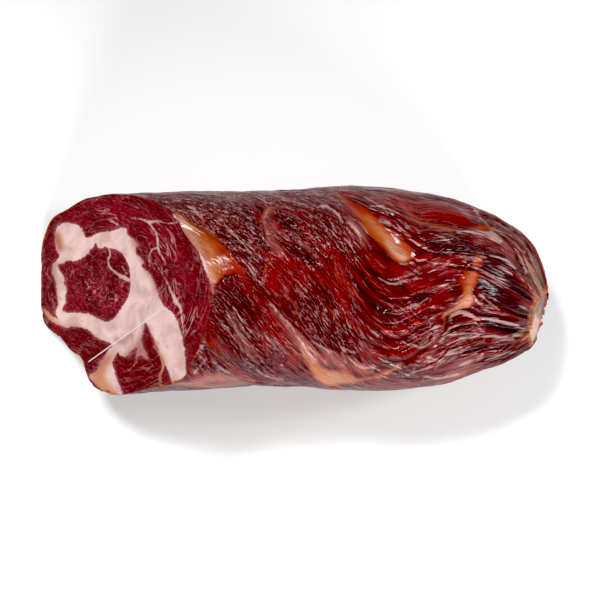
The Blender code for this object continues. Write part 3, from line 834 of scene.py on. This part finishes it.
def raised_cut(rim):
    """The sawn face with its relief, what shows in it, and how far off the rim each point is."""
    flat = cut_grid(rim)
    rim_gap = np.linalg.norm(flat - rim, axis=-1) / MM
    marbling = cut_paint(flat)
    normal = np.array((-1, 0, 1)) / math.sqrt(2)
    height = cut_relief(flat, marbling, rim_gap)
    return flat + normal * height[..., None] * MM, marbling, rim_gap


def give_materials(mesh, rows, tip_share):
    """Skin all over, apart from the cut's rows and the trimmed end."""
    for material in (cured_skin(), marbled_cut(), trimmed_tip()):
        mesh.materials.append(material)
    corners = np.empty(len(mesh.loops), int)
    mesh.loops.foreach_get("vertex_index", corners)
    firsts = np.empty(len(mesh.polygons), int)
    mesh.polygons.foreach_get("loop_start", firsts)
    lowest_row = np.minimum.reduceat(rows[corners], firsts)
    least_tip = np.minimum.reduceat(tip_share[corners], firsts)
    slots = np.where(lowest_row < ROWS_ON_CUT, 1, np.where(least_tip > 0.5, 2, 0))
    mesh.polygons.foreach_set("material_index", slots.astype(np.int32))


def sharpen_rim(mesh, rows):
    """Smooth shading, but for the edge between the cut and the skin."""
    mesh.shade_smooth()
    ends = np.empty(len(mesh.edges) * 2, int)
    mesh.edges.foreach_get("vertices", ends)
    on_rim = (rows[ends.reshape(-1, 2)] == ROWS_ON_CUT).all(axis=1)
    mesh.edges.foreach_set("use_edge_sharp", on_rim)
    mesh.update()


def neck_sausage():
    """The whole piece: cut, skin and tip in one closed mesh."""
    skin = skin_grid()
    normals = outward(skin)
    facing = normals[..., 2]
    paint = skin_paint(skin, facing)
    relief, paint["fold_gap"], paint["fold_depth"] = skin_relief(skin, facing, paint)
    tip_gap, ragged, on_tip = trim_at(skin)
    lip = np.exp(-(tip_gap**2))
    paint["fat"] = np.maximum(paint["fat"], 1.4 - 0.9 * np.abs(tip_gap))
    paint["tan"] = np.maximum(paint["tan"], 0.6 * np.exp(-((tip_gap / 2) ** 2)))
    paint["relief"] = relief * (1 - on_tip) - TIP_SUNK * on_tip + (LIP_HEIGHT + LIP_RAGGED * ragged) * lip
    placed = raised_skin(skin, normals, paint["relief"])
    cut, marbling, rim_gap = raised_cut(placed[0])

    mesh, rows, steps = laid_mesh("cured_neck_meat", np.concatenate([cut, placed]))
    values = {name: whole_grid(0, shown) for name, shown in paint.items()}
    values["rim_gap"] = whole_grid(rim_gap, 0)
    rim_marbling = cut_paint(placed[:1])
    for name, shown in marbling.items():
        values[name] = whole_grid(shown, rim_marbling[name])
    for name, grid in values.items():
        give_values(mesh, name, "FLOAT", grid[rows, steps])
    everywhere = np.concatenate([cut, skin])
    fibres = fibre_places(everywhere)
    fibres[..., 0] = np.interp(fibres[..., 0], *PATTERN_STRETCH)
    give_values(mesh, "fibres", "FLOAT_VECTOR", fibres[rows, steps])
    give_values(mesh, "round_eye", "FLOAT_VECTOR", places_round_eye(everywhere)[rows, steps])
    give_materials(mesh, rows, whole_grid(0, on_tip)[rows, steps])
    sharpen_rim(mesh, rows)

    piece = bpy.data.objects.new("cured_neck_meat", mesh)
    bpy.context.scene.collection.objects.link(piece)
    return piece


def linear(code):
    """A six-digit sRGB colour as a linear RGBA."""
    parts = [int(code[i : i + 2], 16) / 255 for i in (1, 3, 5)]
    return (*(p / 12.92 if p <= 0.04045 else ((p + 0.055) / 1.055) ** 2.4 for p in parts), 1.0)


def add(tree, kind, settings=None, inputs=None):
    """Adds a node with its settings. An input is a value, or the output of another node."""
    made = tree.nodes.new(kind)
    for name, value in (settings or {}).items():
        setattr(made, name, value)
    for name, value in (inputs or {}).items():
        if isinstance(value, bpy.types.NodeSocket):
            tree.links.new(value, made.inputs[name])
        else:
            made.inputs[name].default_value = value
    return made


def new_material(name):
    """An empty material with its shader, and the tree that they are in."""
    material = bpy.data.materials.new(name)
    material.use_nodes = True
    tree = material.node_tree
    return material, tree, tree.nodes["Principled BSDF"]


def read(tree, *names, output="Fac"):
    """The values that the mesh holds for each vertex, by name."""
    return {
        name: add(tree, "ShaderNodeAttribute", {"attribute_name": name}).outputs[output]
        for name in names
    }


def patterns(tree, place, sizes):
    """Noises, by name: each has its size along three axes, its detail and its distortion."""
    made = {}
    for name, (size, detail, distortion) in sizes.items():
        scale = tuple(1 / s for s in size)
        placed = add(tree, "ShaderNodeMapping", None, {"Vector": place, "Scale": scale})
        made[name] = add(tree, "ShaderNodeTexNoise", None, {
            "Vector": placed.outputs["Vector"],
            "Scale": 1.0,
            "Detail": detail,
            "Roughness": 0.55,
            "Distortion": distortion,
        }).outputs["Fac"]
    return made


def mixed(tree, share, low, high):
    """A colour between two, each a socket or a six-digit sRGB code."""
    low, high = (linear(c) if isinstance(c, str) else c for c in (low, high))
    made = add(tree, "ShaderNodeMix", {"data_type": "RGBA"}, {0: share, 6: low, 7: high})
    return made.outputs[2]


def layered(tree, colour, layers):
    """A colour with others laid over it in turn, each with the share that it covers."""
    for share, over in layers:
        colour = mixed(tree, share, colour, over)
    return colour


def risen(tree, source, start, end, low=0.0, high=1.0):
    """A smooth rise from low to high as the source goes from start to end."""
    made = add(tree, "ShaderNodeMapRange", {"interpolation_type": "SMOOTHSTEP"}, {
        "Value": source,
        "From Min": start,
        "From Max": end,
        "To Min": low,
        "To Max": high,
    })
    return made.outputs["Result"]


def maths(tree, operation, first, second=0.0, third=0.0):
    """One sum of two or three values."""
    inputs = {0: first, 1: second, 2: third}
    return add(tree, "ShaderNodeMath", {"operation": operation}, inputs).outputs[0]


def times(tree, first, second):
    """Two values multiplied."""
    return maths(tree, "MULTIPLY", first, second)


def scaled(tree, value, scale, offset):
    """A value multiplied by one and moved by another."""
    return maths(tree, "MULTIPLY_ADD", value, scale, offset)


def greatest(tree, first, *others):
    """The greatest of some values."""
    for other in others:
        first = maths(tree, "MAXIMUM", first, other)
    return first


def off_middle(tree, noise):
    """How far a noise is off its middle, from 0 to 1: sharp valleys with puffed skin between."""
    return maths(tree, "ABSOLUTE", scaled(tree, noise, 2.0, -1.0))


def bumped(tree, distance, height, under=None):
    """A bump whose full height is the distance, in millimetres, over another one."""
    inputs = {"Strength": 1.0, "Distance": distance * MM, "Height": height}
    if under is not None:
        inputs["Normal"] = under
    return add(tree, "ShaderNodeBump", None, inputs).outputs["Normal"]


CREASE_SHADE_COLOUR = "#130102"  # painted shade: the near-black red laid in the bottom of wrinkles and folds, where shade falls
CREASE_SHADE_WIDTH = 0.12  # how far off a noise's middle a wrinkle's painted shade reaches
LINE_WIDTH = 0.38  # millimetres, half the width of a drawn fold's groove and of its painted shade line


def skin_lean(tree, value, noise, dull):
    """Red to brown lean under the casing, with painted glints and sheen as pale threads where it is dull."""
    red = mixed(tree, risen(tree, noise["mottling"], 0.35, 0.65), "#4A1F21", "#712426")
    brown = mixed(tree, noise["streaks"], "#401719", "#7A3231")
    # Painted highlights: pale threads that stand for the small glints and sheen of the dull, wrinkled skin.
    glint_threads = times(tree, risen(tree, noise["threads"], 0.54, 0.63), scaled(tree, dull, 0.45, 0.2))
    calm = greatest(tree, value["smooth"], value["bright"], value["plum"])
    return layered(tree, red, (
        (risen(tree, noise["streaks"], 0.5, 0.75, 0.0, 0.7), "#7C201F"),
        (times(tree, value["bright"], 0.65), "#7C1E1E"),
        (times(tree, value["brown"], 0.85), brown),
        (times(tree, value["plum"], 0.9), "#332023"),
        (times(tree, glint_threads, scaled(tree, calm, -0.75, 1.0)), "#C49A9A"),
        # Pink: partly pink lean, partly painted sheen on the ridges and lobes.
        (times(tree, value["pink"], 0.65), "#9C544F"),
    ))


def skin_fat_colour(tree, value, noise):
    """Orange fat under the casing, tan where it has dried, and pink where lean runs through it or painted
    sheen lies on the ridges.
    """
    orange = mixed(tree, noise["mottling"], "#883122", "#A45331")
    tan = mixed(tree, noise["mottling"], "#9B5737", "#BC7E57")
    return layered(tree, mixed(tree, value["tan"], orange, tan), (
        (times(tree, value["bright"], 0.85), "#822921"),
        (times(tree, value["pink"], 0.8), "#BD927F"),
        (risen(tree, noise["threads"], 0.5, 0.66, 0.0, 0.45), "#7B2920"),
    ))


def drawn_line(tree, value):
    """The drawn folds as sharp grooves, which the mesh alone is too coarse to show; they bump the skin and
    carry a painted shade line.
    """
    gap = maths(tree, "DIVIDE", value["fold_gap"], LINE_WIDTH)
    line = maths(tree, "EXPONENT", times(tree, times(tree, gap, gap), -1.0))
    return times(tree, line, value["fold_depth"])


def cured_skin():
    """Dry-cured skin: a thin, oily, glossy casing shrunk over red lean, with fat that shows orange."""
    material, tree, shader = new_material("cured_skin")
    value = read(
        tree, "fat", "tan", "pink", "brown", "bright", "plum", "wrinkled", "smooth", "crest_glint", "relief",
        "fold_gap", "fold_depth")
    fibres = read(tree, "fibres", output="Vector")["fibres"]
    noise = patterns(tree, fibres, {
        "mottling": ((14, 5, 5), 3.0, 0.3),
        "streaks": ((7, 1.9, 1.9), 3.0, 1.0),
        "threads": ((2.4, 0.8, 0.8), 3.0, 1.2),
        "creases": ((11, 2.6, 2.6), 1.2, 0.7),
        "crinkles": ((3.6, 1.2, 1.2), 1.5, 1.0),
        "grit": ((0.9, 0.6, 0.6), 1.0, 0.0),
    })
    dull = greatest(tree, value["brown"], value["wrinkled"])
    wander = scaled(tree, noise["streaks"], 2.4, -1.2)
    fat_share = risen(tree, maths(tree, "ADD", value["fat"], wander), -0.8, 1.4, 0.0, 0.95)
    lean = skin_lean(tree, value, noise, dull)
    colour = mixed(tree, fat_share, lean, skin_fat_colour(tree, value, noise))

    # Wrinkles are deeper where the skin is dull, and shallow where it is taut or over fat.
    valley = off_middle(tree, noise["creases"])
    crinkle = off_middle(tree, noise["crinkles"])
    taut = scaled(tree, greatest(tree, value["smooth"], fat_share), -0.8, 1.0)
    rough = scaled(tree, value["wrinkled"], 0.7, 0.6)
    wavy = scaled(tree, crinkle, scaled(tree, dull, 0.4, 0.3), valley)
    wavy = times(tree, times(tree, wavy, rough), taut)
    line = drawn_line(tree, value)
    # The colour of the painted highlights on the crests: pinkish, golden over tan skin.
    pale = mixed(tree, value["tan"], "#B08E8A", "#8A673A")
    broken = scaled(tree, noise["threads"], 3.0, -1.5)
    # Painted shade: near-black red in the hollows of the relief, in the bottoms of the wrinkles and along
    # the drawn fold lines; the last layer is the painted highlight on the crests.
    colour = layered(tree, colour, (
        (risen(tree, value["relief"], -1.4, -0.1, 0.5, 0.0), CREASE_SHADE_COLOUR),
        (times(tree, risen(tree, valley, 0.0, CREASE_SHADE_WIDTH, 0.55, 0.0), taut), CREASE_SHADE_COLOUR),
        (times(tree, risen(tree, crinkle, 0.0, CREASE_SHADE_WIDTH, 0.35, 0.0), taut), CREASE_SHADE_COLOUR),
        (risen(tree, line, 0.1, 1.1, 0.0, 0.6), CREASE_SHADE_COLOUR),
        (risen(tree, maths(tree, "ADD", value["crest_glint"], broken), -0.3, 0.4, 0.0, 0.7), pale),
    ))
    tree.links.new(colour, shader.inputs["Base Color"])
    normal = bumped(tree, 0.04, noise["grit"], bumped(tree, 2.3, wavy))
    tree.links.new(bumped(tree, -0.45, line, normal), shader.inputs["Normal"])
    roughness = risen(tree, noise["mottling"], 0.3, 0.7, 0.11, 0.18)
    tree.links.new(scaled(tree, value["brown"], 0.06, roughness), shader.inputs["Roughness"])
    shader.inputs["IOR"].default_value = 1.31
    return material


GRAIN_TURN = 0.5  # radians that the grain of the cut is turned by


def soft_inside(shader, share, radius):
    """Light that sinks a little into the flesh and comes out redder."""
    shader.inputs["Subsurface Weight"].default_value = share
    shader.inputs["Subsurface Radius"].default_value = radius
    shader.inputs["Subsurface Scale"].default_value = 1.5 * MM


def cut_lean(tree, value, noise, fat_depth):
    """Moist crimson lean with fibres, fine veins of fat, and a paler edge along the fat."""
    from_vein = maths(tree, "ABSOLUTE", maths(tree, "SUBTRACT", noise["veins"], 0.5))
    vein = risen(tree, from_vein, 0.006, 0.03, 1.0, 0.0)
    vein = times(tree, vein, risen(tree, noise["patches"], 0.4, 0.6, 0.1, 0.8))
    vein = times(tree, vein, scaled(tree, value["veiny"], 0.65, 0.35))
    crimson = mixed(tree, risen(tree, noise["clouds"], 0.35, 0.65), "#592023", "#762329")
    return layered(tree, crimson, (
        (times(tree, value["blood"], 0.7), "#5B1E1F"),
        (risen(tree, noise["fibres"], 0.5, 0.72, 0.0, 0.4), "#8F4249"),
        (risen(tree, noise["threads"], 0.55, 0.72, 0.0, 0.55), "#A2565F"),
        (risen(tree, noise["threads"], 0.3, 0.45, 0.6, 0.0), "#441E22"),
        (vein, "#BE8787"),
        (risen(tree, fat_depth, -1.2, 0.0, 0.0, 0.35), "#A2595F"),
    ))


def cut_fat(tree, value, noise):
    """Pale pink fat, orange where it has dried and red where blood has got into it."""
    pink = mixed(tree, risen(tree, noise["clouds"], 0.35, 0.65), "#C19E99", "#D8BBB4")
    return layered(tree, pink, (
        (risen(tree, noise["marbling"], 0.6, 0.75, 0.0, 0.5), "#B67C78"),
        (times(tree, value["orange"], 0.8), "#B67044"),
        (times(tree, value["blood"], 0.75), "#914E4B"),
    ))


def marbled_cut():
    """Fresh-cut cured neck: moist crimson lean with fibres, and soft, slightly translucent fat."""
    material, tree, shader = new_material("marbled_cut")
    value = read(tree, "fat_depth", "vein_depth", "orange", "blood", "veiny", "rim_gap")
    place = add(tree, "ShaderNodeTexCoord").outputs["Object"]
    turned = add(tree, "ShaderNodeMapping", None, {
        "Vector": place,
        "Rotation": (0, 0, GRAIN_TURN),
        "Scale": (1 / MM,) * 3,
    })
    noise = patterns(tree, turned.outputs["Vector"], {
        "clouds": ((9, 9, 9), 3.0, 0.4),
        "edge": ((1.6, 1.6, 1.6), 6.0, 0.8),
        "threads": ((2.4, 0.7, 2.4), 3.0, 0.6),
        "marbling": ((6, 3, 6), 5.0, 0.6),
        "grain": ((0.6, 0.6, 0.6), 2.0, 0.0),
    })
    round_eye = read(tree, "round_eye", output="Vector")["round_eye"]
    noise.update(patterns(tree, round_eye, {
        "fibres": ((0.8, 5, 5), 3.0, 0.5),
        "veins": ((3.2, 17, 17), 2.0, 0.8),
        "patches": ((6, 12, 12), 1.0, 0.0),
    }))

    wander = scaled(tree, noise["edge"], 2.0, -1.0)
    depth = maths(tree, "ADD", value["fat_depth"], wander)
    vein_depth = scaled(tree, wander, 0.7, value["vein_depth"])
    in_vein = risen(tree, vein_depth, -0.35, 0.2, 0.0, 0.7)
    fat_share = greatest(tree, risen(tree, depth, -0.15, 0.35), in_vein)
    scored = knife_score(tree, place)
    hem = mixed(tree, risen(tree, noise["marbling"], 0.4, 0.6), "#5F2A22", "#B26E3D")
    casing = maths(tree, "ADD", scaled(tree, value["orange"], -1.2, value["rim_gap"]), wander)
    colour = mixed(tree, fat_share, cut_lean(tree, value, noise, depth), cut_fat(tree, value, noise))
    colour = layered(tree, colour, (
        # Painted highlight: the scored line drawn pale where its edge catches the light.
        (times(tree, scored, 0.85), "#EADCD8"),
        (risen(tree, casing, -0.6, 0.3, 0.85, 0.0), hem),
    ))
    tree.links.new(colour, shader.inputs["Base Color"])
    tree.links.new(risen(tree, noise["grain"], 0.35, 0.65, 0.28, 0.5), shader.inputs["Roughness"])
    rough = times(tree, maths(tree, "SUBTRACT", 1.0, fat_share), noise["threads"])
    normal = bumped(tree, -0.3, scored, bumped(tree, 0.35, rough))
    tree.links.new(normal, shader.inputs["Normal"])
    shader.inputs["IOR"].default_value = 1.3
    shader.inputs["Specular IOR Level"].default_value = 0.3
    soft_inside(shader, 0.1, (1.0, 0.35, 0.25))
    return material


def knife_score(tree, place):
    """1 on the straight line that the knife scored across the cut, as the camera sees it, and 0 off it."""
    start, end, half_width = KNIFE_SCORE
    start_x = (start[0] - PHOTO_MIDDLE) * PIXEL + CAMERA_X
    start_y = (PHOTO_MIDDLE - start[1]) * PIXEL + CAMERA_Y
    run_x, run_y = (end[0] - start[0]) * PIXEL, (start[1] - end[1]) * PIXEL
    placed = add(tree, "ShaderNodeMapping", {"vector_type": "TEXTURE"}, {
        "Vector": place,
        "Location": (start_x, start_y, 0),
        "Rotation": (0, 0, math.atan2(run_y, run_x)),
        "Scale": (MM, MM, MM),
    })
    parts = add(tree, "ShaderNodeSeparateXYZ", None, {"Vector": placed.outputs["Vector"]})
    half_length = math.hypot(run_x, run_y) / MM / 2
    width = half_width * PIXEL / MM
    along = maths(tree, "ABSOLUTE", maths(tree, "SUBTRACT", parts.outputs["X"], half_length))
    off = maths(tree, "ABSOLUTE", parts.outputs["Y"])
    ends = risen(tree, along, half_length - 1.5, half_length, 1.0, 0.0)
    return times(tree, ends, risen(tree, off, width, width + 0.2, 1.0, 0.0))


def trimmed_tip():
    """The knife-trimmed end: pale pink fat inside a frayed hem of casing."""
    material, tree, shader = new_material("trimmed_tip")
    place = add(tree, "ShaderNodeTexCoord").outputs["Object"]
    noise = patterns(tree, place, {
        "clouds": ((2.5 * MM,) * 3, 4.0, 0.0),
        "islands": ((5 * MM,) * 3, 3.0, 0.8),
        "strands": ((1.6 * MM, 4 * MM, 1.6 * MM), 2.0, 1.5),
    })
    # Its far part, towards +Y, is painted darker over a ragged edge.
    across = add(tree, "ShaderNodeSeparateXYZ", None, {"Vector": place}).outputs["Y"]
    ragged = scaled(tree, noise["islands"], 16 * MM, across)
    colour = layered(tree, mixed(tree, noise["clouds"], "#A87C70", "#C09C90"), (
        (risen(tree, noise["strands"], 0.56, 0.68, 0.0, 0.6), "#8A4A42"),
        (risen(tree, ragged, -4 * MM, 0.5 * MM, 0.0, 0.9), "#4E2C29"),
    ))
    tree.links.new(bumped(tree, 0.5, noise["islands"]), shader.inputs["Normal"])
    tree.links.new(colour, shader.inputs["Base Color"])
    shader.inputs["Roughness"].default_value = 0.5
    soft_inside(shader, 0.15, (1.0, 0.4, 0.3))
    return material


FLOOR_HALF = 3.0
FLOOR_MIDDLE = (0, -0.12, 0)  # the middle of the pool of light painted on the paper
FLOOR_FADE = (0.15, 0.42)  # the distances from there between which the painted light falls off to grey


def white_floor():
    """A white table under the piece, with a painted pool of light that greys away from it."""
    bm = bmesh.new()
    bmesh.ops.create_grid(bm, x_segments=1, y_segments=1, size=FLOOR_HALF)
    mesh = bpy.data.meshes.new("white_floor")
    bm.to_mesh(mesh)
    bm.free()
    material, tree, shader = new_material("white_paper")
    place = add(tree, "ShaderNodeTexCoord").outputs["Object"]
    from_middle = {0: place, 1: FLOOR_MIDDLE}
    away = add(tree, "ShaderNodeVectorMath", {"operation": "DISTANCE"}, from_middle).outputs["Value"]
    colour = mixed(tree, risen(tree, away, *FLOOR_FADE), "#E3E3E3", "#808080")
    tree.links.new(colour, shader.inputs["Base Color"])
    shader.inputs["Roughness"].default_value = 0.9
    mesh.materials.append(material)
    floor = bpy.data.objects.new("white_floor", mesh)
    bpy.context.scene.collection.objects.link(floor)


# Softboxes: where each stands, its width and height in metres, and its power in watts.
SOFTBOXES = {
    "key": ((-0.5, 0.85, 1.5), (0.55, 0.34), 36.0),
    "fill": ((0.5, -1.3, 0.75), (1.4, 0.2), 36.0),
    "side": ((1.3, 0.3, 0.95), (0.25, 0.5), 10.0),
}
WORLD_STRENGTH = 0.13
BLACK_LEVEL = 0.034  # the photo was printed with hard blacks


def soft_studio():
    """Softboxes round the table, and a dim white room."""
    for name, (place, size, power) in SOFTBOXES.items():
        light = bpy.data.lights.new(name, "AREA")
        light.shape = "RECTANGLE"
        light.size, light.size_y = size
        light.energy = power
        lamp = bpy.data.objects.new(name, light)
        lamp.location = place
        lamp.rotation_euler = (-Vector(place)).to_track_quat("-Z", "Y").to_euler()
        bpy.context.scene.collection.objects.link(lamp)
    world = bpy.data.worlds.new("white_room")
    world.use_nodes = True
    background = world.node_tree.nodes["Background"].inputs
    background["Color"].default_value = (1, 1, 1, 1)
    background["Strength"].default_value = WORLD_STRENGTH
    bpy.context.scene.world = world
    view = bpy.context.scene.view_settings
    view.view_transform = "Standard"
    view.use_curve_mapping = True
    view.curve_mapping.black_level = (BLACK_LEVEL,) * 3
    view.curve_mapping.update()


def overhead_camera():
    """A long lens that looks straight down and takes in 600 pixels of 0.4 mm."""
    data = bpy.data.cameras.new("overhead")
    data.sensor_width = SENSOR
    data.lens = SENSOR * (CAMERA_HEIGHT - MID_HEIGHT) / (2 * PHOTO_MIDDLE * PIXEL)
    camera = bpy.data.objects.new("overhead", data)
    camera.location = (CAMERA_X, CAMERA_Y, CAMERA_HEIGHT)
    bpy.context.scene.collection.objects.link(camera)
    bpy.context.scene.camera = camera


overhead_camera()
soft_studio()
white_floor()
meat = neck_sausage()
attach(meat, "root")
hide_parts(NODE)
